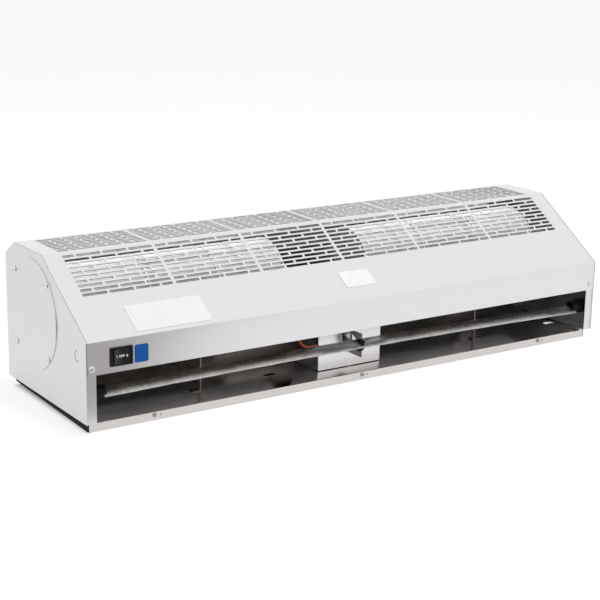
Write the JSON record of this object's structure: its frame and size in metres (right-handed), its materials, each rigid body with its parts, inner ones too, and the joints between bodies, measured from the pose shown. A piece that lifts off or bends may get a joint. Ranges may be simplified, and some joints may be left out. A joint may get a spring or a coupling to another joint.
{
  "type": "air curtain",
  "caption": "Wall-mounted doorway air curtain in folded stainless sheet: slotted intake, two cross-flow rotors, long outlet with a turning vane, and a rocker switch.",
  "frame": {"origin": "middle of the box round the whole unit, on the plane of the wall that the mounting pan lies on", "axes": "+X to the right of someone who looks into the outlet, +Y away from the outlet, +Z out of the wall. On a wall above a door -Y points down."},
  "size_m": [0.9232, 0.2606, 0.2183],
  "materials": {
    "stainless": "brushed",
    "galvanised": "spangled zinc",
    "wheel_aluminium": "satin",
    "bright_steel": "polished",
    "black_nylon": "satin",
    "rocker_black": "satin",
    "motor_paint": "satin",
    "lead_orange": "satin",
    "lead_red": "satin",
    "label_white": "gloss",
    "label_blue": "gloss"
  },
  "bodies": {
    "unit": {"casing": "stainless", "end_plate_left": "stainless", "end_plate_right": "stainless", "access_cover_left": "stainless", "access_cover_right": "stainless", "mounting_pan": "stainless", "centre_panel": "stainless", "centre_bracket": "stainless", "wall_rail_front": "galvanised", "wall_rail_back": "galvanised", "motor_partition": "galvanised", "rear_guide_left": "galvanised", "rear_guide_right": "galvanised", "outlet_ceiling_left": "galvanised", "outlet_ceiling_right": "galvanised", "bearing_holder_left": "wheel_aluminium", "bearing_holder_right": "wheel_aluminium", "fascia_screw_left": "bright_steel", "fascia_screw_right": "bright_steel", "outlet_post_left": "bright_steel", "outlet_post_right": "bright_steel", "bearing_left": "bright_steel", "bearing_right": "bright_steel", "cover_screw_left_1": "bright_steel", "cover_screw_left_2": "bright_steel", "cover_screw_left_3": "bright_steel", "cover_screw_left_4": "bright_steel", "cover_screw_right_1": "bright_steel", "cover_screw_right_2": "bright_steel", "cover_screw_right_3": "bright_steel", "cover_screw_right_4": "bright_steel", "pan_screw_1": "bright_steel", "pan_screw_2": "bright_steel", "pan_screw_3": "bright_steel", "vane_bracket_left": "black_nylon", "vane_bracket_right": "black_nylon", "switch_body": "black_nylon", "terminal_block": "black_nylon", "capacitor": "black_nylon", "motor_left": "motor_paint", "motor_right": "motor_paint", "feed_lead": "lead_orange", "motor_lead_left": "lead_red", "motor_lead_right": "lead_red", "label_large": "label_white", "label_small": "label_white", "label_square": "label_blue"},
    "left_rotor": {"rotor_left": "wheel_aluminium", "end_shaft_left": "bright_steel", "motor_shaft_left": "bright_steel"},
    "right_rotor": {"rotor_right": "wheel_aluminium", "end_shaft_right": "bright_steel", "motor_shaft_right": "bright_steel"},
    "air_vane": {"vane": "galvanised", "vane_bush_left": "black_nylon", "vane_bush_right": "black_nylon", "vane_bush_centre": "black_nylon"},
    "power_rocker": {"switch_rocker": "rocker_black"}
  },
  "joints": [
    {"name": "left_rotor_spin", "type": "hinge", "parent": "unit", "child": "left_rotor", "pos_m": [-0.24545, 0.0413, 0.128], "axis": [1, 0, 0], "continuous": true},
    {"name": "right_rotor_spin", "type": "hinge", "parent": "unit", "child": "right_rotor", "pos_m": [0.24545, 0.0413, 0.128], "axis": [1, 0, 0], "continuous": true},
    {"name": "vane_tilt", "type": "hinge", "parent": "unit", "child": "air_vane", "pos_m": [0, -0.1097, 0.0521], "axis": [1, 0, 0], "range_deg": [-30, 30]},
    {"name": "rocker_tilt", "type": "hinge", "parent": "unit", "child": "power_rocker", "pos_m": [-0.40555, -0.126, 0.10365], "axis": [0, 0, 1], "range_deg": [-10, 10]}
  ]
}
